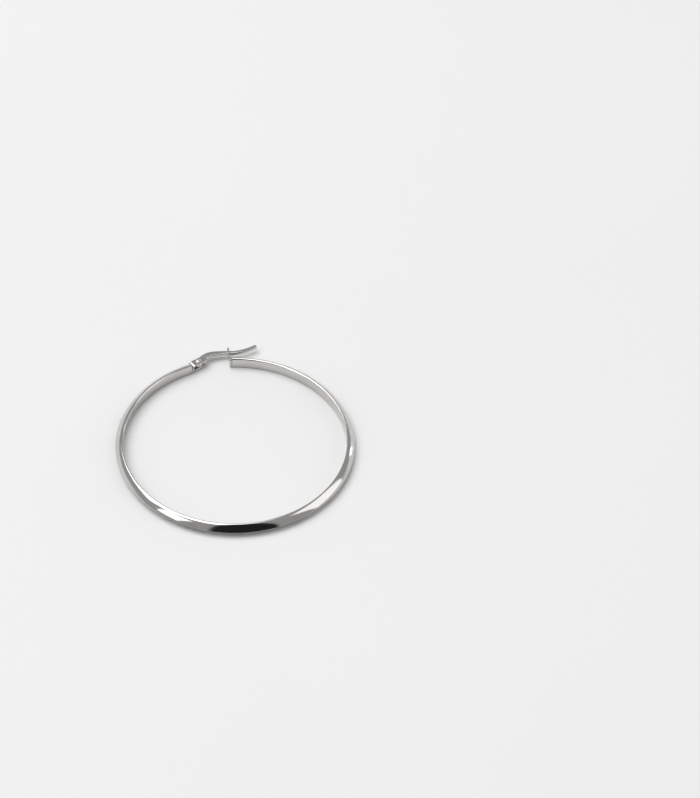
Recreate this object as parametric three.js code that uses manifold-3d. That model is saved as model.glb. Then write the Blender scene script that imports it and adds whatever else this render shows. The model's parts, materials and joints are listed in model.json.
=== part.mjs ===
// Latch-back hoop earring: a hollow knife-edge tube bent to an open ring, closed by a hinged ear wire that snaps
// into a forked catch. Millimetres, +Z along the hoop's axis, the closure towards +Y, lying on its side on z = 0.
// The origin is the middle of the earring's outline on the surface that it lies on.

import * as THREE from 'three';
import { mergeVertices } from 'three/addons/utils/BufferGeometryUtils.js';
import Module from 'manifold-3d';

const wasm = await Module();
wasm.setup();

const WELD_DISTANCE = 1e-4;

// Hoop tube.
const OUTER_RADIUS = 25.0;         // hoop centre to the knife edge
const INNER_RADIUS = 23.3;         // hoop centre to the flat inner wall
const TUBE_HEIGHT = 2.6;           // along the hoop's axis
const SHOULDER_RADIUS = 0.33;      // rounding between the inner wall and each bevel
const SHOULDER_TILT = degrees(28); // lean of a bevel's normal from the axis, where the bevel leaves its shoulder
const LAND_TILT = degrees(20);     // half of the shoulder's arc that is level instead of round
const TUBE_WALL = 0.28;
const TUBE_STEPS = 90;
const SHOULDER_STEPS = 3;
const BEVEL_STEPS = 4;
const CAVITY_SHOULDER_STEPS = 1;
const CAVITY_BEVEL_STEPS = 2;
const HINGE_END_ANGLE = degrees(101.0); // polar angle of the tube's end at the hinge
const CATCH_END_ANGLE = degrees(79.1);  // and at the catch

const MID_HEIGHT = TUBE_HEIGHT / 2;
const CAVITY_FLOOR = INNER_RADIUS + TUBE_WALL; // radius of the inner wall's hidden face

// Hinge bracket, in the frame of the tube's hinge end: x along the tangent away from the end, y outward.
const STRIP = 0.35;                // thickness of the folded strip
const TANG_SLOT = 0.9;             // clear space between the two plates
const BRACKET_LENGTH = 3.95;       // from the outside of the fold to the free end
const BRACKET_WIDTH = 1.65;
const BRACKET_LIFT = degrees(11);  // the plates point a little outward of the tangent
const BRACKET_START = [0.08, 24.16]; // middle of the fold's outside face
const FREE_END_RADIUS = 0.72;
const FOLD_RADIUS = 0.3;
const CUT_MARGIN = 1;              // how far cutting shapes overrun what they cut
const PIVOT_REACH = 1.95;          // from the fold's outside to the rivet
const TONGUE_LENGTH = 1.9;         // how far each tongue goes into the tube
const TONGUE_WIDTH = 1.0;
const TONGUE_THICKNESS = 0.34;
const TONGUE_CLEARANCE = 0.06;     // tongue to the tube's inner face

// Rivet.
const SHANK_RADIUS = 0.34;
const PLATE_HOLE_RADIUS = 0.38;
const TANG_HOLE_RADIUS = 0.4;
const HEAD_RADIUS = 0.56;
const HEAD_HEIGHT = 0.2;
const HEAD_GAP = 0.03;
const ROUND_STEPS = 24;
const DOME_STEPS = 4;

// Ear wire: a flat lever with rounded edges. Seen from above it rises from the rivet to a shelf that runs round
// the hoop past the catch, where its tail bends away. Angles are polar about the hoop's centre.
const SHELF_RADIUS = 26.45;        // hoop centre to the lever's middle line along the shelf
const RISE_SWEEP = degrees(8);     // from the rivet to the start of the shelf
const TAIL_START_ANGLE = degrees(79);
const TAIL_END_ANGLE = degrees(69);
const TAIL_LIFT = 2.1;             // how far the tail's end stands outside the shelf's circle
const LEVER_WIDTH = 1.38;          // in the hoop's plane, beside the tang
const TAIL_WIDTH = 0.86;
const TAPER_START_ANGLE = degrees(89);
const TAPER_END_ANGLE = degrees(78);
const TANG_RADIUS = 0.86;
const LEVER_THICKNESS = 0.78;      // along the hoop's axis
const EDGE_ROUND = 0.22;
const EDGE_STEPS = 3;
const LEVER_STEPS = 40;
const TAIL_STEPS = 8;

// Catch fork, in the frame of the tube's catch end: x along the tangent towards the hinge, y outward.
const CATCH_THICKNESS = 0.42;
const CATCH_GAP = 0.1;             // tube end to the plate, at the plate's root
const CATCH_LEAN = degrees(8);     // the plate leans towards the hinge
const CATCH_ROOT = 23.32;          // radius of the plate's inner edge
const CATCH_TIP = 27.45;           // radius of the prongs' tips
const CATCH_BASE_WIDTH = 2.3;      // along the hoop's axis
const CATCH_FORK_WIDTH = 1.66;
const CATCH_SHOULDER = 25.1;       // radius where the plate has narrowed to the fork
const NOTCH_WIDTH = 0.94;
const NOTCH_FLOOR = 25.76;         // radius of the notch's round bottom
const CORNER_RADIUS = 0.3;
const NECK_EASE = 0.6;             // reach of the curve that narrows the plate to the fork

function degrees(angle) {
  return (angle * Math.PI) / 180;
}

function polar(radius, angle) {
  return new THREE.Vector2(radius * Math.cos(angle), radius * Math.sin(angle));
}

function polishedSteel(shade) {
  return new THREE.MeshStandardMaterial({ color: shade, roughness: 0.12, metalness: 1.0 });
}

// A three.js geometry as a manifold solid.
function toSolid(geometry) {
  const bare = geometry.clone();
  bare.deleteAttribute('normal');
  bare.deleteAttribute('uv');
  const merged = mergeVertices(bare, WELD_DISTANCE);
  return new wasm.Manifold(new wasm.Mesh({
    numProp: 3,
    vertProperties: new Float32Array(merged.attributes.position.array),
    triVerts: new Uint32Array(merged.index.array),
  }));
}

// A manifold solid as a three.js geometry.
function toGeometry(solid) {
  const mesh = solid.getMesh();
  const geometry = new THREE.BufferGeometry();
  geometry.setAttribute('position', new THREE.BufferAttribute(new Float32Array(mesh.vertProperties), 3));
  geometry.setIndex(new THREE.BufferAttribute(new Uint32Array(mesh.triVerts), 1));
  geometry.computeVertexNormals();
  return geometry;
}

function extrudeUp(shape, bottom, height, curveSegments = 8) {
  const geometry = new THREE.ExtrudeGeometry(shape, { depth: height, bevelEnabled: false, curveSegments });
  geometry.translate(0, 0, bottom);
  return geometry;
}

function roundBar(radius, bottom, height, x, y) {
  const bar = new THREE.CylinderGeometry(radius, radius, height, ROUND_STEPS);
  bar.rotateX(Math.PI / 2);
  bar.translate(x, y, bottom + height / 2);
  return bar;
}

// The tube's outline, as points (distance from the hoop's centre, height), set in by the wall for the hollow.
// The shoulder and bevel arcs meet at a common tangent, the two bevels meet at the knife edge, and the widest chord
// of each shoulder is level, so that the hoop lies on a narrow flat.
function tubeOutline(inset, shoulderSteps, bevelSteps) {
  const shoulder = new THREE.Vector2(INNER_RADIUS + SHOULDER_RADIUS, TUBE_HEIGHT);
  shoulder.y -= SHOULDER_RADIUS * Math.cos(LAND_TILT);
  const towardsBevel = new THREE.Vector2(Math.sin(SHOULDER_TILT), Math.cos(SHOULDER_TILT));
  const bevelStart = shoulder.clone().addScaledVector(towardsBevel, SHOULDER_RADIUS);
  const reach = OUTER_RADIUS - bevelStart.x;
  const edgeTilt = 2 * Math.atan2(bevelStart.y - MID_HEIGHT, reach) - SHOULDER_TILT;
  const bevelRadius = reach / (Math.sin(edgeTilt) - Math.sin(SHOULDER_TILT));
  const bevel = bevelStart.clone().addScaledVector(towardsBevel, -bevelRadius);
  const lastTilt = Math.acos((MID_HEIGHT - bevel.y) / (bevelRadius - inset));
  const upper = [
    ...arcPoints(shoulder, SHOULDER_RADIUS - inset, -Math.PI / 2, -LAND_TILT, shoulderSteps),
    ...arcPoints(shoulder, SHOULDER_RADIUS - inset, LAND_TILT, LAND_TILT, 0),
    ...arcPoints(bevel, bevelRadius - inset, SHOULDER_TILT, lastTilt, bevelSteps),
  ];
  const lower = upper.slice(0, -1).map((point) => new THREE.Vector2(point.x, TUBE_HEIGHT - point.y));
  return [...upper, ...lower.reverse()];
}

// Points of an arc, its angles measured from straight up towards +x.
function arcPoints(centre, radius, from, to, steps) {
  const points = [];
  for (let i = 0; i <= steps; i += 1) {
    const tilt = from + ((to - from) * i) / Math.max(steps, 1);
    points.push(new THREE.Vector2(centre.x + radius * Math.sin(tilt), centre.y + radius * Math.cos(tilt)));
  }
  return points;
}

class HoopArc extends THREE.Curve {
  getPoint(t, target = new THREE.Vector3()) {
    const sweep = 2 * Math.PI - (HINGE_END_ANGLE - CATCH_END_ANGLE);
    const place = polar(INNER_RADIUS, HINGE_END_ANGLE + sweep * t);
    return target.set(place.x, place.y, MID_HEIGHT);
  }
}

// Along the arc the outline's first axis points down and its second towards the hoop's centre.
function alongHoop(points) {
  return points.map((point) => new THREE.Vector2(MID_HEIGHT - point.y, INNER_RADIUS - point.x));
}

function hoopTube() {
  const section = new THREE.Shape(alongHoop(tubeOutline(0, SHOULDER_STEPS, BEVEL_STEPS)));
  const cavity = tubeOutline(TUBE_WALL, CAVITY_SHOULDER_STEPS, CAVITY_BEVEL_STEPS);
  section.holes.push(new THREE.Path(alongHoop(cavity)));
  const geometry = new THREE.ExtrudeGeometry(section, { steps: TUBE_STEPS, extrudePath: new HoopArc() });
  return namedMesh('hoop_tube', geometry, polishedSteel(0xb9b8b6));
}

// A flat tongue that lies in the tube's end against its inner wall, in the frame of that end.
// side is +1 where the tube goes away towards -x, and -1 where it goes away towards +x.
function tongue(side, emerges) {
  const length = TONGUE_LENGTH + emerges;
  const block = new THREE.BoxGeometry(length, TONGUE_THICKNESS, TONGUE_WIDTH);
  const floor = CAVITY_FLOOR + TONGUE_CLEARANCE;
  block.translate(side * (emerges - length / 2), floor + TONGUE_THICKNESS / 2, MID_HEIGHT);
  return block;
}

// Side view of the folded strip, x along it and y up: a U open towards +x.
function bracketSideView() {
  const half = TANG_SLOT / 2 + STRIP;
  const inner = TANG_SLOT / 2;
  const outside = FOLD_RADIUS + STRIP;
  const shape = new THREE.Shape();
  shape.moveTo(BRACKET_LENGTH, half);
  shape.lineTo(outside, half);
  shape.absarc(outside, half - outside, outside, Math.PI / 2, Math.PI, false);
  shape.absarc(outside, outside - half, outside, Math.PI, Math.PI * 1.5, false);
  shape.lineTo(BRACKET_LENGTH, -half);
  shape.lineTo(BRACKET_LENGTH, -inner);
  shape.lineTo(outside, -inner);
  shape.absarc(outside, FOLD_RADIUS - inner, FOLD_RADIUS, Math.PI * 1.5, Math.PI, true);
  shape.absarc(outside, inner - FOLD_RADIUS, FOLD_RADIUS, Math.PI, Math.PI / 2, true);
  shape.lineTo(BRACKET_LENGTH, inner);
  return shape;
}

// Plan view of the strip: square at the fold, round at the free end.
function bracketPlan() {
  const half = BRACKET_WIDTH / 2;
  const turn = BRACKET_LENGTH - FREE_END_RADIUS;
  const shape = new THREE.Shape();
  shape.moveTo(-CUT_MARGIN, -half);
  shape.lineTo(turn, -half);
  shape.absarc(turn, FREE_END_RADIUS - half, FREE_END_RADIUS, -Math.PI / 2, 0, false);
  shape.absarc(turn, half - FREE_END_RADIUS, FREE_END_RADIUS, 0, Math.PI / 2, false);
  shape.lineTo(-CUT_MARGIN, half);
  return shape;
}

// Place of a point of the strip's middle line, in the frame of the tube's hinge end.
function onBracket(reach) {
  const [x, y] = BRACKET_START;
  return new THREE.Vector2(x + reach * Math.cos(BRACKET_LIFT), y + reach * Math.sin(BRACKET_LIFT));
}

function hingeBracket() {
  const folded = new THREE.ExtrudeGeometry(bracketSideView(), {
    depth: BRACKET_WIDTH + CUT_MARGIN,
    bevelEnabled: false,
    curveSegments: 5,
  });
  folded.translate(0, 0, -(BRACKET_WIDTH + CUT_MARGIN) / 2);
  folded.rotateX(Math.PI / 2);
  const plan = extrudeUp(bracketPlan(), -TUBE_HEIGHT, 2 * TUBE_HEIGHT, 6);
  const hole = roundBar(PLATE_HOLE_RADIUS, -TUBE_HEIGHT, 2 * TUBE_HEIGHT, PIVOT_REACH, 0);
  const strip = toGeometry(toSolid(folded).intersect(toSolid(plan)).subtract(toSolid(hole)));
  strip.rotateZ(BRACKET_LIFT);
  strip.translate(BRACKET_START[0], BRACKET_START[1], MID_HEIGHT);
  const fixed = toSolid(strip).add(toSolid(tongue(1, BRACKET_START[0] + STRIP / 2)));
  return namedMesh('hinge_bracket', toGeometry(fixed), polishedSteel(0xb4b2af));
}

function pivotPoint() {
  return onBracket(PIVOT_REACH);
}

// The rivet's half outline is closed on its axis: shank and two domed heads.
function hingeRivet() {
  const headFloor = TANG_SLOT / 2 + STRIP + HEAD_GAP;
  const profile = [];
  const addDome = (sign) => {
    const dome = [];
    for (let i = 0; i <= DOME_STEPS; i += 1) {
      const turn = (Math.PI / 2) * (i / DOME_STEPS);
      const rise = headFloor + HEAD_HEIGHT * Math.cos(turn);
      dome.push(new THREE.Vector2(HEAD_RADIUS * Math.sin(turn), sign * rise));
    }
    dome[0].x = 0;
    dome.push(new THREE.Vector2(SHANK_RADIUS, sign * headFloor));
    return dome;
  };
  profile.push(...addDome(-1), ...addDome(1).reverse());
  const geometry = new THREE.LatheGeometry(profile, ROUND_STEPS);
  geometry.rotateX(Math.PI / 2);
  const place = pivotPoint();
  geometry.translate(place.x, place.y, MID_HEIGHT);
  return namedMesh('hinge_rivet', geometry, polishedSteel(0xc4c2be));
}

function toHoopFrame(point, endAngle) {
  return point.clone().rotateAround(new THREE.Vector2(0, 0), endAngle - Math.PI / 2);
}

// The lever's middle line from the rivet to the tail's end, with the lever's width carried as its z.
class LeverLine extends THREE.Curve {
  getPoint(t, target = new THREE.Vector3()) {
    const root = toHoopFrame(pivotPoint(), HINGE_END_ANGLE);
    const angle = THREE.MathUtils.lerp(root.angle(), TAIL_END_ANGLE, t);
    const unrisen = Math.max(0, 1 - (root.angle() - angle) / RISE_SWEEP);
    const lifted = Math.max(0, (TAIL_START_ANGLE - angle) / (TAIL_START_ANGLE - TAIL_END_ANGLE));
    const radius = SHELF_RADIUS - (SHELF_RADIUS - root.length()) * unrisen ** 2 + TAIL_LIFT * lifted ** 2;
    const taper = THREE.MathUtils.smoothstep(-angle, -TAPER_START_ANGLE, -TAPER_END_ANGLE);
    const place = polar(radius, angle);
    return target.set(place.x, place.y, THREE.MathUtils.lerp(LEVER_WIDTH, TAIL_WIDTH, taper));
  }
}

// Plan view of the lever: down its inner edge, round the tail, back along its outer edge, and round the tang.
function leverPlan() {
  const line = new LeverLine();
  const inner = [];
  const outer = [];
  const root = line.getPoint(0);
  for (let i = 0; i <= LEVER_STEPS; i += 1) {
    const middle = line.getPointAt(i / LEVER_STEPS);
    if (middle.clone().setZ(root.z).distanceTo(root) < TANG_RADIUS) continue;
    const along = line.getTangentAt(i / LEVER_STEPS).setZ(0).normalize();
    const side = new THREE.Vector2(-along.y, along.x).multiplyScalar(middle.z / 2);
    outer.push(new THREE.Vector2(middle.x + side.x, middle.y + side.y));
    inner.push(new THREE.Vector2(middle.x - side.x, middle.y - side.y));
  }
  const tail = halfTurn(inner.at(-1), outer.at(-1), TAIL_STEPS);
  return new THREE.Shape([...inner, ...tail, ...outer.reverse(), ...tangArc(root, outer.at(-1), inner[0])]);
}

// Points of the half circle that joins two points, turning anticlockwise from the first.
function halfTurn(from, to, steps) {
  const middle = from.clone().add(to).multiplyScalar(0.5);
  const points = [];
  for (let i = 1; i < steps; i += 1) points.push(from.clone().rotateAround(middle, (Math.PI * i) / steps));
  return points;
}

// The tang's round edge, anticlockwise about the rivet from one side of the lever to the other.
function tangArc(root, from, to) {
  const start = Math.atan2(from.y - root.y, from.x - root.x);
  const end = Math.atan2(to.y - root.y, to.x - root.x);
  const sweep = end - start + (end < start ? 2 * Math.PI : 0);
  const points = [];
  for (let i = 1; i < ROUND_STEPS; i += 1) {
    const place = polar(TANG_RADIUS, start + (sweep * i) / ROUND_STEPS);
    points.push(place.add(new THREE.Vector2(root.x, root.y)));
  }
  return points;
}

function earWire() {
  const plan = leverPlan();
  const bore = toHoopFrame(pivotPoint(), HINGE_END_ANGLE);
  plan.holes.push(new THREE.Path().absarc(bore.x, bore.y, TANG_HOLE_RADIUS, 0, 2 * Math.PI, true));
  const geometry = new THREE.ExtrudeGeometry(plan, {
    depth: LEVER_THICKNESS - 2 * EDGE_ROUND,
    bevelThickness: EDGE_ROUND,
    bevelSize: EDGE_ROUND,
    bevelOffset: -EDGE_ROUND,
    bevelSegments: EDGE_STEPS,
    curveSegments: ROUND_STEPS,
  });
  geometry.translate(0, 0, MID_HEIGHT - LEVER_THICKNESS / 2 + EDGE_ROUND);
  return namedMesh('ear_wire', geometry, polishedSteel(0xbab9b6));
}

// Front view of the catch, x along the hoop's axis and y outward: a plate that narrows to a two-prong fork.
function catchFrontView() {
  const base = CATCH_BASE_WIDTH / 2;
  const fork = CATCH_FORK_WIDTH / 2;
  const notch = NOTCH_WIDTH / 2;
  const prong = (fork - notch) / 2;
  const neck = CATCH_SHOULDER - NECK_EASE;
  const shape = new THREE.Shape();
  shape.moveTo(-base + CORNER_RADIUS, CATCH_ROOT);
  shape.lineTo(base - CORNER_RADIUS, CATCH_ROOT);
  shape.absarc(base - CORNER_RADIUS, CATCH_ROOT + CORNER_RADIUS, CORNER_RADIUS, -Math.PI / 2, 0, false);
  shape.bezierCurveTo(base, neck, fork, neck, fork, CATCH_SHOULDER);
  shape.absarc(fork - prong, CATCH_TIP - prong, prong, 0, Math.PI, false);
  shape.absarc(0, NOTCH_FLOOR + notch, notch, 0, -Math.PI, true);
  shape.absarc(prong - fork, CATCH_TIP - prong, prong, 0, Math.PI, false);
  shape.lineTo(-fork, CATCH_SHOULDER);
  shape.bezierCurveTo(-fork, neck, -base, neck, -base, CATCH_ROOT + CORNER_RADIUS);
  shape.absarc(-base + CORNER_RADIUS, CATCH_ROOT + CORNER_RADIUS, CORNER_RADIUS, Math.PI, Math.PI * 1.5, false);
  return shape;
}

function catchFork() {
  const plate = new THREE.ExtrudeGeometry(catchFrontView(), {
    depth: CATCH_THICKNESS,
    bevelEnabled: false,
    curveSegments: 6,
  });
  plate.rotateY(-Math.PI / 2);
  plate.translate(0, -CATCH_ROOT, 0);
  plate.rotateZ(CATCH_LEAN);
  plate.translate(-CATCH_GAP, CATCH_ROOT, MID_HEIGHT);
  const fixed = toSolid(plate).add(toSolid(tongue(-1, CATCH_GAP + CATCH_THICKNESS / 2)));
  return namedMesh('catch_fork', toGeometry(fixed), polishedSteel(0xb4b2af));
}

function namedMesh(name, geometry, material) {
  const mesh = new THREE.Mesh(geometry, material);
  mesh.name = name;
  return mesh;
}

// A group whose x runs along the tangent at one end of the tube and whose y points outward there.
function endFrame(endAngle, ...pieces) {
  const group = new THREE.Group();
  group.rotation.z = endAngle - Math.PI / 2;
  group.add(...pieces);
  return group;
}

function hoopEarring() {
  const group = new THREE.Group();
  group.add(
    hoopTube(),
    endFrame(HINGE_END_ANGLE, hingeBracket(), hingeRivet()),
    earWire(),
    endFrame(CATCH_END_ANGLE, catchFork()),
  );
  const bounds = new THREE.Box3().setFromObject(group, true);
  const centre = bounds.getCenter(new THREE.Vector3());
  group.position.set(-centre.x, -centre.y, -bounds.min.z);
  const earring = new THREE.Group();
  earring.add(group);
  return earring;
}

export default hoopEarring();
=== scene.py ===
"""Looks of the latch-back hoop earring: fine polished-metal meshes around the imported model, with its set."""

import json
from math import acos, atan2, cos, pi, radians, sin, sqrt

import bmesh
import bpy
from mathutils import Matrix, Vector


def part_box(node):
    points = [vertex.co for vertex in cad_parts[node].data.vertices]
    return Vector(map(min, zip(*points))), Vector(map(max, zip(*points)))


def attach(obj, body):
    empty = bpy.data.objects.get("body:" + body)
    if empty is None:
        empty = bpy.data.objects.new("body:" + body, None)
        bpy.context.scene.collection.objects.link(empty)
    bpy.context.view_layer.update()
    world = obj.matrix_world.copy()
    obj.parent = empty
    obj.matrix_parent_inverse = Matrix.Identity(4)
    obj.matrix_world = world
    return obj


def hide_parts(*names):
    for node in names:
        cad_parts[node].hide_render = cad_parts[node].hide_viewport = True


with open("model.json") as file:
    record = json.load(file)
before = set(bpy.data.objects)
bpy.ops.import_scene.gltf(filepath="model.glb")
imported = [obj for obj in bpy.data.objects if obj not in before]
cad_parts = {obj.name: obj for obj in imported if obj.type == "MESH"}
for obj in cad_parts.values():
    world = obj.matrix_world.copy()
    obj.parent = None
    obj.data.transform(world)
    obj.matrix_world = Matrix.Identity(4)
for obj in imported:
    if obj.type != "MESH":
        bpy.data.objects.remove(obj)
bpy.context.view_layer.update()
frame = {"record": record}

MM = 0.001
UP = Vector((0, 0, 1))

# The hoop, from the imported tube: it lies on z = 0 and its knife edge is its widest circle.
tube_low, tube_high = (Vector(corner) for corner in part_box("hoop_tube"))
OUTER_RADIUS = (tube_high.x - tube_low.x) / 2
TUBE_HEIGHT = tube_high.z - tube_low.z
MID_HEIGHT = TUBE_HEIGHT / 2
HOOP_CENTRE = Vector(((tube_high.x + tube_low.x) / 2, tube_low.y + OUTER_RADIUS, 0))
PIVOT = Vector(frame["record"]["behaviour"]["joints"][0]["pos_m"])

# The tube's section.
WALL_DEPTH = 1.7 * MM  # knife edge to the flat inner wall
TUBE_WALL = 0.28 * MM
SHOULDER_RADIUS = 0.33 * MM
SHOULDER_TILT = radians(28)  # lean of a bevel's normal where the bevel leaves its shoulder
EDGE_RADIUS = 0.06 * MM  # tiny rounding of the knife edge
CAVITY_EDGE_RADIUS = 0.03 * MM
HINGE_END = radians(101.0)
CATCH_END = radians(79.1)

# Folded strip of the hinge.
STRIP = 0.35 * MM
TANG_SLOT = 0.9 * MM
BRACKET_LENGTH = 3.95 * MM
BRACKET_WIDTH = 1.65 * MM
BRACKET_LIFT = radians(11)
PIVOT_REACH = 1.95 * MM
FREE_END_RADIUS = 0.72 * MM
FOLD_RADIUS = 0.3 * MM
STRIP_EDGE = 0.09 * MM
FOLD_STEPS = 8
ROUND_END_STEPS = 14
STRAIGHT_STEPS = 20

# Rivet.
HEAD_RADIUS = 0.56 * MM
HEAD_HEIGHT = 0.2 * MM
SHANK_RADIUS = 0.34 * MM
RECESS_RADIUS = 0.68 * MM
RECESS_DEPTH = 0.1 * MM
DOME_STEPS = 10

# Lever: it rises from the rivet to a shelf round the hoop and its tail bends away past the catch.
SHELF_RADIUS = 26.45 * MM
RISE_SWEEP = radians(8)
TAIL_START = radians(79)
TAIL_END = radians(69)
TAIL_LIFT = 2.1 * MM
LEVER_WIDTH = 1.38 * MM
TAIL_WIDTH = 0.86 * MM
TAPER_START = radians(89)
TAPER_END = radians(78)
TANG_RADIUS = 0.86 * MM
LEVER_THICKNESS = 0.78 * MM
LEVER_EDGE = 0.22 * MM
LEVER_END_STEPS = 12
SKIN = 0.01 * MM  # the polished surface lies this far inside the lever's outline

# Catch.
CATCH_THICKNESS = 0.42 * MM
CATCH_GAP = 0.1 * MM
CATCH_LEAN = radians(8)
CATCH_ROOT = 23.32 * MM
CATCH_TIP = 27.45 * MM
CATCH_SHOULDER = 25.1 * MM
CATCH_BASE_WIDTH = 2.3 * MM
CATCH_FORK_WIDTH = 1.66 * MM
CATCH_EDGE = 0.1 * MM
NOTCH_WIDTH = 0.94 * MM
NOTCH_FLOOR = 25.76 * MM
CATCH_CORNER = 0.3 * MM
PRONG_TIP = 0.16 * MM
CATCH_NECK = 1.0 * MM  # length over which the plate narrows to the fork
CATCH_STEPS = 60
NOTCH_STEPS = 12

TONGUE = {"length": 1.9 * MM, "width": 1.0 * MM, "thickness": 0.34 * MM, "clearance": 0.06 * MM}

# Camera: its bearing about the hoop, height angle, distance and lens.
CAMERA_AZIMUTH = radians(-15.3)
CAMERA_ELEVATION = radians(46.17)
CAMERA_DISTANCE = 0.6254
CAMERA_ROLL = radians(1.87)
AIM_RIGHT = 23.67 * MM  # from the hoop's centre to the point that the camera looks at
AIM_AWAY = 15.1 * MM
SENSOR = 36.0
LENS = 132.6


# ---------------------------------------------------------------- meshes

def new_object(name, vertices, faces, sharp_angle=35):
    mesh = bpy.data.meshes.new(name)
    mesh.from_pydata([tuple(v) for v in vertices], [], faces)
    mesh.validate()
    fix = bmesh.new()
    fix.from_mesh(mesh)
    bmesh.ops.remove_doubles(fix, verts=fix.verts, dist=1e-8)
    bmesh.ops.recalc_face_normals(fix, faces=fix.faces)
    fix.to_mesh(mesh)
    fix.free()
    mesh.shade_smooth()
    mesh.set_sharp_from_angle(angle=radians(sharp_angle))
    piece = bpy.data.objects.new(name, mesh)
    bpy.context.scene.collection.objects.link(piece)
    return piece


def apply_modifier(piece, kind, **settings):
    modifier = piece.modifiers.new(kind.lower(), kind)
    for key, value in settings.items():
        setattr(modifier, key, value)
    depsgraph = bpy.context.evaluated_depsgraph_get()
    mesh = bpy.data.meshes.new_from_object(piece.evaluated_get(depsgraph))
    piece.modifiers.clear()
    piece.data = mesh
    mesh.shade_smooth()
    mesh.set_sharp_from_angle(angle=radians(35))


def boolean(piece, other, operation):
    """Joins or cuts piece with other, which is used up."""
    apply_modifier(piece, "BOOLEAN", object=other, operation=operation, solver="EXACT")
    bpy.data.objects.remove(other)


def arc(centre, radius, start, end, steps):
    """Points (outward, up) of an arc, its angles measured from straight up towards outward."""
    turns = (start + (end - start) * i / steps for i in range(steps + 1))
    return [(centre[0] + radius * sin(t), centre[1] + radius * cos(t)) for t in turns]


def tube_outline(inset, edge_radius, shoulder_steps=8, bevel_steps=8, edge_steps=6):
    """The tube's outline, or with inset its cavity's, as (outward, up) points from the inner wall over it."""
    inner = OUTER_RADIUS - WALL_DEPTH
    shoulder = (inner + SHOULDER_RADIUS, TUBE_HEIGHT - SHOULDER_RADIUS)
    start = (
        shoulder[0] + SHOULDER_RADIUS * sin(SHOULDER_TILT),
        shoulder[1] + SHOULDER_RADIUS * cos(SHOULDER_TILT),
    )
    reach = OUTER_RADIUS - start[0]
    edge_tilt = 2 * atan2(start[1] - MID_HEIGHT, reach) - SHOULDER_TILT
    bevel_radius = reach / (sin(edge_tilt) - sin(SHOULDER_TILT))
    bevel = (start[0] - bevel_radius * sin(SHOULDER_TILT), start[1] - bevel_radius * cos(SHOULDER_TILT))
    span = bevel_radius - inset - edge_radius
    last_tilt = acos((MID_HEIGHT - bevel[1]) / span)
    edge = (bevel[0] + span * sin(last_tilt), MID_HEIGHT)
    upper = arc(shoulder, SHOULDER_RADIUS - inset, -pi / 2, SHOULDER_TILT, shoulder_steps)
    upper += arc(bevel, bevel_radius - inset, SHOULDER_TILT, last_tilt, bevel_steps)[1:]
    upper += arc(edge, edge_radius, last_tilt, pi / 2, edge_steps)[1:]
    lower = [(outward, TUBE_HEIGHT - up) for outward, up in upper[:-1]]
    return upper + lower[::-1]


def hoop_tube(steps=540):
    """The open ring of hollow tube: outer skin, cavity skin, and a rim of metal between them at each end."""
    outlines = [tube_outline(0, EDGE_RADIUS), tube_outline(TUBE_WALL, CAVITY_EDGE_RADIUS)]
    count = len(outlines[0])
    sweep = 2 * pi - (HINGE_END - CATCH_END)
    vertices = []
    for i in range(steps + 1):
        angle = HINGE_END + sweep * i / steps
        away = Vector((cos(angle), sin(angle), 0))
        for outline in outlines:
            vertices += [HOOP_CENTRE + away * outward + UP * up for outward, up in outline]
    stride = 2 * count
    faces = []
    for j in range(count):
        k = (j + 1) % count
        for i in range(steps):
            here, there = i * stride, (i + 1) * stride
            faces.append((here + j, here + k, there + k, there + j))
            faces.append((here + count + k, here + count + j, there + count + j, there + count + k))
        last = steps * stride
        faces.append((k, j, count + j, count + k))
        faces.append((last + j, last + k, last + count + k, last + count + j))
    return new_object("polished_hoop", vertices, faces)


def loft(name, stations, corner_steps=4):
    """A bar with rounded edges through stations.

    A station is (middle, width axis, thickness axis, half width, half thickness, edge radius).
    """
    vertices, faces = [], []
    for middle, across, through, half_width, half_thickness, edge in stations:
        edge = min(edge, half_width, half_thickness)
        for quarter in range(4):
            turn = quarter * pi / 2
            x_sign = 1 if quarter in (0, 3) else -1
            y_sign = 1 if quarter in (0, 1) else -1
            for step in range(corner_steps + 1):
                angle = turn + step * pi / 2 / corner_steps
                x = x_sign * (half_width - edge) + edge * cos(angle)
                y = y_sign * (half_thickness - edge) + edge * sin(angle)
                vertices.append(middle + across * x + through * y)
    ring = 4 * (corner_steps + 1)
    for i in range(len(stations) - 1):
        for j in range(ring):
            k = (j + 1) % ring
            faces.append((i * ring + j, i * ring + k, (i + 1) * ring + k, (i + 1) * ring + j))
    faces.append(tuple(reversed(range(ring))))
    faces.append(tuple((len(stations) - 1) * ring + j for j in range(ring)))
    return new_object(name, vertices, faces)


def rounded(distance, radius):
    """How far a quarter-round end has risen at a distance from its tip."""
    inside = max(radius - max(distance, 0), 0)
    return sqrt(max(radius * radius - inside * inside, 0))


def end_axes(angle):
    """At one end of the tube: the tangent that turns clockwise round the hoop, and the way outward."""
    return Vector((sin(angle), -cos(angle), 0)), Vector((cos(angle), sin(angle), 0))


def tongue(name, angle, side, emerges):
    """The flat tongue that each fitting pushes into the tube's end, along the inner wall."""
    tangent, outward = end_axes(angle)
    radius = OUTER_RADIUS - WALL_DEPTH + TUBE_WALL + TONGUE["clearance"] + TONGUE["thickness"] / 2
    base = HOOP_CENTRE + outward * radius + UP * MID_HEIGHT
    ends = (emerges, -TONGUE["length"])
    half = (TONGUE["width"] / 2, TONGUE["thickness"] / 2, 0.05 * MM)
    return loft(name, [(base + tangent * side * reach, UP, outward, *half) for reach in ends])


def bracket_axes():
    tangent, outward = end_axes(HINGE_END)
    along = tangent * cos(BRACKET_LIFT) + outward * sin(BRACKET_LIFT)
    return along, UP.cross(along)


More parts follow.
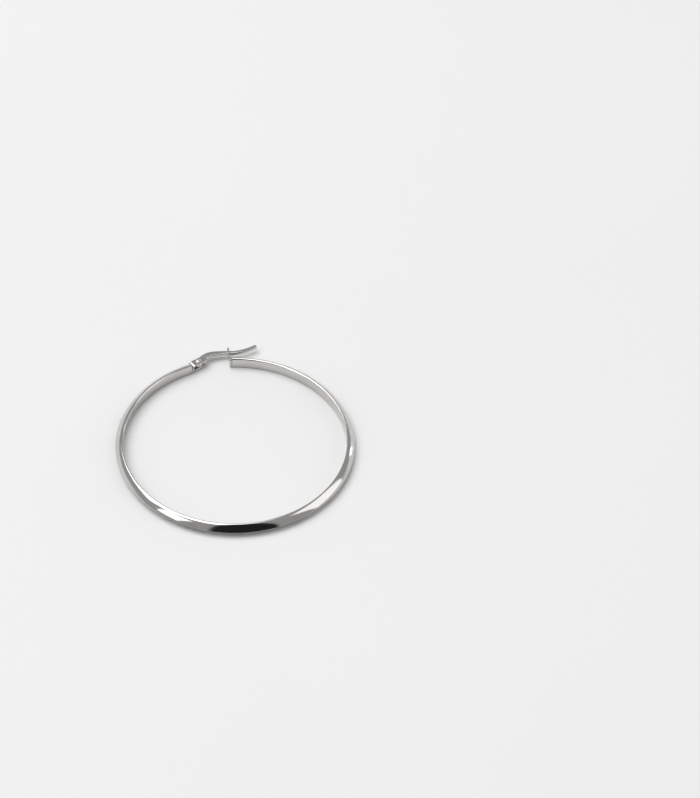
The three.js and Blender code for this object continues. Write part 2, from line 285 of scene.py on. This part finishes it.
def hinge_bracket():
    """A strip folded to a U round the tang: free end, plate, fold, plate, free end."""
    along, across = bracket_axes()
    fold_face = PIVOT - along * PIVOT_REACH
    lift = TANG_SLOT / 2 + STRIP / 2
    bend = FOLD_RADIUS + STRIP / 2
    straight = BRACKET_LENGTH - bend - STRIP / 2
    flat = lift - bend
    run = [(BRACKET_LENGTH - reach, lift, UP, reach) for reach in spread(straight, FREE_END_RADIUS)]
    for step in range(1, FOLD_STEPS + 1):
        turn = step * pi / 2 / FOLD_STEPS
        place = (STRIP / 2 + bend * (1 - sin(turn)), flat + bend * cos(turn))
        run.append((*place, UP * cos(turn) - along * sin(turn), straight))
    stations = []
    for side in (1, -1):
        half = []
        for x, z, normal, reach in run:
            middle = fold_face + along * x + UP * side * z
            through = Vector((normal.x, normal.y, normal.z * side))
            width = BRACKET_WIDTH / 2 - FREE_END_RADIUS + rounded(reach, FREE_END_RADIUS)
            thick = STRIP / 2 - STRIP_EDGE + rounded(reach, STRIP_EDGE)
            half.append((middle, across, through, width, thick, STRIP_EDGE))
        stations += half if side > 0 else half[::-1]
    strip = loft("bright_bracket", stations)
    boolean(strip, recess_cutter(), "DIFFERENCE")
    tangent, _ = end_axes(HINGE_END)
    emerges = (fold_face - HOOP_CENTRE).dot(tangent) + STRIP / 2
    boolean(strip, tongue("bracket_tongue", HINGE_END, 1, emerges), "UNION")
    return strip


def spread(length, fine):
    """Distances from 0 to length, closer together over the first stretch called fine."""
    near = [fine * (1 - cos(pi / 2 * i / ROUND_END_STEPS)) for i in range(ROUND_END_STEPS + 1)]
    far = [fine + (length - fine) * i / STRAIGHT_STEPS for i in range(1, STRAIGHT_STEPS + 1)]
    return near + far


def lathe(name, profile, place, steps=48):
    """A solid turned about a vertical axis through place, from (radius, height) points that start on it."""
    vertices, faces = [], []
    inner = profile[1:-1]
    for i in range(steps):
        turn = 2 * pi * i / steps
        spoke = Vector((cos(turn), sin(turn), 0))
        vertices += [place + spoke * radius + UP * height for radius, height in inner]
    bottom = len(vertices)
    vertices += [place + UP * profile[0][1], place + UP * profile[-1][1]]
    count = len(inner)
    for i in range(steps):
        here, there = i * count, ((i + 1) % steps) * count
        faces.append((bottom, there, here))
        faces.append((bottom + 1, here + count - 1, there + count - 1))
        for j in range(count - 1):
            faces.append((here + j, there + j, there + j + 1, here + j + 1))
    return new_object(name, vertices, faces)


def recess_cutter():
    """The rivet's hole with the shallow ring pressed round each head."""
    face = TANG_SLOT / 2 + STRIP
    hole = SHANK_RADIUS + 0.03 * MM
    floor = face - RECESS_DEPTH
    above = 2 * face
    half = [(0, -above), (RECESS_RADIUS, -above), (RECESS_RADIUS, -face)]
    half += [(HEAD_RADIUS, -floor), (hole, -floor)]
    return lathe("rivet_recess", half + [(radius, -height) for radius, height in half[::-1]], PIVOT)


def hinge_rivet():
    """Shank with a domed head at each end, sitting in the bracket's recesses."""
    floor = TANG_SLOT / 2 + STRIP - RECESS_DEPTH + 0.02 * MM
    crown = TANG_SLOT / 2 + STRIP + 0.03 * MM + HEAD_HEIGHT
    rise = crown - floor
    turns = [pi / 2 * i / DOME_STEPS for i in range(DOME_STEPS + 1)]
    dome = [(HEAD_RADIUS * sin(turn), floor + rise * cos(turn)) for turn in turns]
    upper = [(0, crown)] + dome[1:] + [(SHANK_RADIUS, floor)]
    lower = [(radius, -height) for radius, height in upper]
    return lathe("domed_rivet", lower + upper[::-1], PIVOT)


def smooth(share):
    share = min(max(share, 0), 1)
    return share * share * (3 - 2 * share)


def lever_line(steps=150):
    """The lever's middle line from the rivet to the tail's end, with its width carried as z."""
    root = PIVOT - HOOP_CENTRE
    start = atan2(root.y, root.x)
    line = []
    for i in range(steps + 1):
        angle = start + (TAIL_END - start) * i / steps
        unrisen = max(0, 1 - (start - angle) / RISE_SWEEP)
        lifted = max(0, (TAIL_START - angle) / (TAIL_START - TAIL_END))
        radius = SHELF_RADIUS - (SHELF_RADIUS - root.xy.length) * unrisen ** 2 + TAIL_LIFT * lifted ** 2
        taper = smooth((TAPER_START - angle) / (TAPER_START - TAPER_END))
        width = LEVER_WIDTH + (TAIL_WIDTH - LEVER_WIDTH) * taper - 2 * SKIN
        line.append(Vector((HOOP_CENTRE.x + radius * cos(angle), HOOP_CENTRE.y + radius * sin(angle), width)))
    return line


def ear_wire():
    line = lever_line()
    start = (line[1] - line[0]).xy.normalized()
    root = line[0]
    turns = [pi / 2 * i / LEVER_END_STEPS for i in range(LEVER_END_STEPS + 1)]
    back = [root - Vector((*(start * TANG_RADIUS * cos(turn)), 0)) for turn in turns[:-1]]
    tail_way = (line[-1] - line[-2]).xy.normalized()
    tail_radius = line[-1].z / 2
    tail = [line[-1] + Vector((*(tail_way * tail_radius * sin(turn)), 0)) for turn in turns[1:]]
    path = back + line + tail
    stations = []
    for i, point in enumerate(path):
        ahead, behind = path[min(i + 1, len(path) - 1)], path[max(i - 1, 0)]
        along = (ahead - behind).xy.normalized().to_3d()
        across = UP.cross(along)
        from_pivot = (point - root).xy.length
        disc = sqrt(max(TANG_RADIUS ** 2 - from_pivot ** 2, 0))
        to_tip = (path[-1] - point).xy.length
        from_back = (point - path[0]).xy.length
        if i < len(back):
            width = disc
        else:
            width = max(disc, point.z / 2)
        if to_tip < tail_radius:
            width = rounded(to_tip, tail_radius)
        thick = LEVER_THICKNESS / 2 - LEVER_EDGE + rounded(min(to_tip, from_back), LEVER_EDGE)
        stations.append((Vector((point.x, point.y, MID_HEIGHT)), across, UP, width, thick, LEVER_EDGE))
    lever = loft("polished_ear_wire", stations, corner_steps=6)
    hole = SHANK_RADIUS + 0.05 * MM
    boolean(lever, lathe("tang_bore", [(0, -MM), (hole, -MM), (hole, MM), (0, MM)], PIVOT), "DIFFERENCE")
    return lever


def catch_fork():
    """A leaning plate that narrows to a fork with an open notch for the lever."""
    tangent, outward = end_axes(CATCH_END)
    up_plate = outward * cos(CATCH_LEAN) - tangent * sin(CATCH_LEAN)
    normal = tangent * cos(CATCH_LEAN) + outward * sin(CATCH_LEAN)
    root = HOOP_CENTRE + outward * CATCH_ROOT - tangent * CATCH_GAP + UP * MID_HEIGHT
    middle = root - normal * CATCH_THICKNESS / 2
    length = CATCH_TIP - CATCH_ROOT
    stations = []
    for i in range(CATCH_STEPS + 1):
        rise = length * i / CATCH_STEPS
        blend = smooth((rise - (CATCH_SHOULDER - CATCH_ROOT - CATCH_NECK)) / CATCH_NECK)
        half = CATCH_BASE_WIDTH / 2 * (1 - blend) + CATCH_FORK_WIDTH / 2 * blend
        half -= CATCH_CORNER - rounded(rise, CATCH_CORNER)
        half -= PRONG_TIP - rounded(length - rise, PRONG_TIP)
        thick = CATCH_THICKNESS / 2 - CATCH_EDGE + rounded(min(rise, length - rise), CATCH_EDGE)
        stations.append((middle + up_plate * rise, UP, normal, half, thick, CATCH_EDGE))
    plate = loft("bright_catch", stations)
    notch = NOTCH_FLOOR - CATCH_ROOT
    radius = NOTCH_WIDTH / 2
    turns = [pi / 2 * i / NOTCH_STEPS for i in range(NOTCH_STEPS + 1)]
    slot = [(notch + radius * (1 - cos(turn)), radius * sin(turn)) for turn in turns]
    slot += [(length + MM, radius)]
    slot_stations = [(middle + up_plate * rise, UP, normal, half, MM, 0.0) for rise, half in slot]
    boolean(plate, loft("notch", slot_stations, corner_steps=1), "DIFFERENCE")
    reach = CATCH_GAP + CATCH_THICKNESS / 2
    boolean(plate, tongue("catch_tongue", CATCH_END, -1, reach), "UNION")
    apply_modifier(plate, "BEVEL", width=0.05 * MM, segments=2, limit_method="ANGLE", angle_limit=radians(50))
    return plate


# ---------------------------------------------------------------- materials

class Nodes:
    """Short hand for building a node tree."""

    def __init__(self, tree):
        self.tree = tree
        tree.nodes.clear()

    def add(self, kind, inputs=None, **settings):
        node = self.tree.nodes.new(kind)
        for key, value in settings.items():
            setattr(node, key, value)
        for key, value in (inputs or {}).items():
            if isinstance(value, bpy.types.NodeSocket):
                self.tree.links.new(value, node.inputs[key])
            else:
                node.inputs[key].default_value = value
        return node

    def ramp(self, factor, stops, interpolation="LINEAR"):
        node = self.add("ShaderNodeValToRGB", {"Fac": factor})
        node.color_ramp.interpolation = interpolation
        while len(node.color_ramp.elements) < len(stops):
            node.color_ramp.elements.new(1.0)
        for element, (place, colour) in zip(node.color_ramp.elements, stops):
            element.position = place
            element.color = (*colour, 1.0) if isinstance(colour, tuple) else (colour, colour, colour, 1.0)
        return node.outputs["Color"]


def polished_steel(name, tint, roughness, line_scale, wave):
    """Polished stainless steel: faint tone clouds, fine polishing lines, waviness and dulled specks."""
    material = bpy.data.materials.new(name)
    material.use_nodes = True
    n = Nodes(material.node_tree)
    place = n.add("ShaderNodeTexCoord").outputs["Object"]
    clouds = n.add("ShaderNodeTexNoise", {"Vector": place, "Scale": 420.0, "Detail": 4.0}).outputs["Fac"]
    low = tuple(0.94 * c for c in tint)
    colour = n.ramp(clouds, [(0.35, low), (0.65, tint)])
    stretch = n.add("ShaderNodeMapping", {"Vector": place, "Scale": line_scale}).outputs["Vector"]
    lines = n.add("ShaderNodeTexNoise", {"Vector": stretch, "Scale": 1.0, "Detail": 3.0}).outputs["Fac"]
    wear = n.add("ShaderNodeTexNoise", {"Vector": place, "Scale": 1500.0, "Detail": 2.0}).outputs["Fac"]
    gloss = n.ramp(wear, [(0.4, roughness), (0.75, roughness * 1.9)])
    waviness = n.add("ShaderNodeTexNoise", {"Vector": place, "Scale": 260.0, "Detail": 1.0}).outputs["Fac"]
    swell = n.add(
        "ShaderNodeBump", {"Strength": wave, "Distance": 0.02 * MM, "Height": waviness}
    ).outputs["Normal"]
    grain = n.add(
        "ShaderNodeBump", {"Strength": 0.12, "Distance": 0.002 * MM, "Height": lines, "Normal": swell}
    ).outputs["Normal"]
    shader = n.add("ShaderNodeBsdfPrincipled", {"Base Color": colour, "Roughness": gloss, "Normal": grain})
    shader.inputs["Metallic"].default_value = 1.0
    output = n.add("ShaderNodeOutputMaterial")
    n.tree.links.new(shader.outputs["BSDF"], output.inputs["Surface"])
    return material


def floor_material():
    """Plain pale sheet with a barely visible tooth."""
    material = bpy.data.materials.new("pale_sheet")
    material.use_nodes = True
    n = Nodes(material.node_tree)
    place = n.add("ShaderNodeTexCoord").outputs["Object"]
    cloud = n.add("ShaderNodeTexNoise", {"Vector": place, "Scale": 9.0, "Detail": 2.0}).outputs["Fac"]
    colour = n.ramp(cloud, [(0.3, 0.795), (0.7, 0.805)])
    shader = n.add("ShaderNodeBsdfPrincipled", {"Base Color": colour, "Roughness": 0.9})
    shader.inputs["Specular IOR Level"].default_value = 0.1
    output = n.add("ShaderNodeOutputMaterial")
    n.tree.links.new(shader.outputs["BSDF"], output.inputs["Surface"])
    return material


# ---------------------------------------------------------------- stage

BOX_DISTANCE = 1.6
ROOM_PALE = 0.42
ROOM_DARK = 0.02
DARK_BEARING = radians(10)  # middle of the room's dim side, to the right of the camera
DARK_REACH = (-0.9, -0.86)  # -1 straight at the dim side: where it is fully dark, and where it ends
SWEEP_TONE = 0.92  # the pale sweep that rises behind the set
SWEEP_TOP = (0.3, 0.12)  # sine of its height angle, where it has faded out and where it is full
SWEEP_SIDES = (-0.1, 0.35)  # how squarely a direction faces it, where it starts and where it is full


def on_set(bearing, elevation):
    """Direction out from the hoop: bearing from the camera's side to the right, height from the floor."""
    turn = CAMERA_AZIMUTH + bearing
    return Vector((sin(turn) * cos(elevation), -cos(turn) * cos(elevation), sin(elevation)))


def softbox(name, bearing, elevation, width, height, radiance):
    light = bpy.data.lights.new(name, "AREA")
    light.shape = "RECTANGLE"
    light.size = width
    light.size_y = height
    light.energy = radiance * pi * width * height
    lamp = bpy.data.objects.new(name, light)
    bpy.context.scene.collection.objects.link(lamp)
    way = on_set(radians(bearing), radians(elevation))
    lamp.location = HOOP_CENTRE + way * BOX_DISTANCE
    lamp.rotation_euler = way.to_track_quat("Z", "Y").to_euler()


def studio_lights():
    """Softboxes left, right and overhead, and a strip light low behind the set on its right."""
    softbox("left_softbox", -55, 33, 0.55, 1.0, 1.7)
    softbox("right_softbox", 88, 30, 1.0, 1.5, 1.1)
    softbox("overhead_softbox", -112, 66, 1.5, 1.5, 2.95)
    softbox("strip_light", 128, 8, 0.16, 0.5, 2.0)


def studio_world():
    """A pale room, dim on the viewer's side, with a pale sweep behind the set."""
    world = bpy.data.worlds.new("studio")
    bpy.context.scene.world = world
    world.use_nodes = True
    n = Nodes(world.node_tree)
    way = n.add("ShaderNodeTexCoord").outputs["Generated"]
    level = n.add("ShaderNodeVectorMath", {0: way, 1: (1, 1, 0)}, operation="MULTIPLY").outputs["Vector"]
    heading = n.add("ShaderNodeVectorMath", {0: level}, operation="NORMALIZE").outputs["Vector"]
    facing = n.add(
        "ShaderNodeVectorMath", {0: heading, 1: tuple(-on_set(DARK_BEARING, 0))}, operation="DOT_PRODUCT"
    ).outputs["Value"]
    pale = n.add(
        "ShaderNodeMapRange",
        {
            "Value": facing,
            "From Min": DARK_REACH[0],
            "From Max": DARK_REACH[1],
            "To Min": ROOM_DARK,
            "To Max": ROOM_PALE,
        },
        interpolation_type="SMOOTHSTEP",
    ).outputs["Result"]
    height = n.add("ShaderNodeSeparateXYZ", {"Vector": way}).outputs["Z"]
    low = n.add(
        "ShaderNodeMapRange",
        {"Value": height, "From Min": SWEEP_TOP[0], "From Max": SWEEP_TOP[1]},
        interpolation_type="SMOOTHSTEP",
    ).outputs["Result"]
    behind = n.add(
        "ShaderNodeMapRange",
        {"Value": facing, "From Min": SWEEP_SIDES[0], "From Max": SWEEP_SIDES[1]},
        interpolation_type="SMOOTHSTEP",
    ).outputs["Result"]
    share = n.add("ShaderNodeMath", {0: low, 1: behind}, operation="MULTIPLY").outputs[0]
    extra = n.add("ShaderNodeMath", {0: share, 1: SWEEP_TONE - ROOM_PALE}, operation="MULTIPLY").outputs[0]
    tone = n.add("ShaderNodeMath", {0: pale, 1: extra}, operation="ADD").outputs[0]
    background = n.add("ShaderNodeBackground", {"Color": tone})
    output = n.add("ShaderNodeOutputWorld")
    n.tree.links.new(background.outputs[0], output.inputs["Surface"])


def floor():
    size = 4.0
    corners = [Vector((x * size, y * size, 0)) for x, y in ((-1, -1), (1, -1), (1, 1), (-1, 1))]
    sheet = new_object("floor", corners, [(0, 1, 2, 3)])
    sheet.data.materials.append(floor_material())


def camera():
    data = bpy.data.cameras.new("camera")
    data.sensor_width = SENSOR
    data.lens = LENS
    data.clip_start = 0.01
    data.clip_end = 50
    rig = bpy.data.objects.new("camera", data)
    bpy.context.scene.collection.objects.link(rig)
    right = Vector((cos(CAMERA_AZIMUTH), sin(CAMERA_AZIMUTH), 0))
    away = Vector((-sin(CAMERA_AZIMUTH), cos(CAMERA_AZIMUTH), 0))
    aim = HOOP_CENTRE + right * AIM_RIGHT + away * AIM_AWAY
    back = UP * sin(CAMERA_ELEVATION) - away * cos(CAMERA_ELEVATION)
    turn = Matrix((right, back.cross(right), back)).transposed().to_4x4()
    roll = Matrix.Rotation(CAMERA_ROLL, 4, "Z")
    rig.matrix_world = Matrix.Translation(aim + back * CAMERA_DISTANCE) @ turn @ roll
    bpy.context.scene.camera = rig


# ---------------------------------------------------------------- assembly

def place(piece, node, body, slot, material):
    piece.data.materials.clear()
    piece.data.materials.append(material)
    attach(piece, body)
    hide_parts(node)


camera()
floor()
studio_world()
studio_lights()
bpy.context.scene.view_settings.view_transform = "Standard"

tube_steel = polished_steel("polished_tube_steel", (0.62, 0.605, 0.59), 0.07, (90, 90, 5200), 0.25)
strip_steel = polished_steel("stamped_strip_steel", (0.59, 0.575, 0.56), 0.12, (2600, 2600, 400), 0.35)
wire_steel = polished_steel("polished_wire_steel", (0.61, 0.6, 0.585), 0.1, (900, 4200, 4200), 0.3)

place(hoop_tube(), "hoop_tube", "hoop_frame", "polished_tube", tube_steel)
place(hinge_bracket(), "hinge_bracket", "hoop_frame", "stamped_strip", strip_steel)
place(hinge_rivet(), "hinge_rivet", "hoop_frame", "polished_wire", wire_steel)
place(catch_fork(), "catch_fork", "hoop_frame", "stamped_strip", strip_steel)
place(ear_wire(), "ear_wire", "lever", "polished_wire", wire_steel)
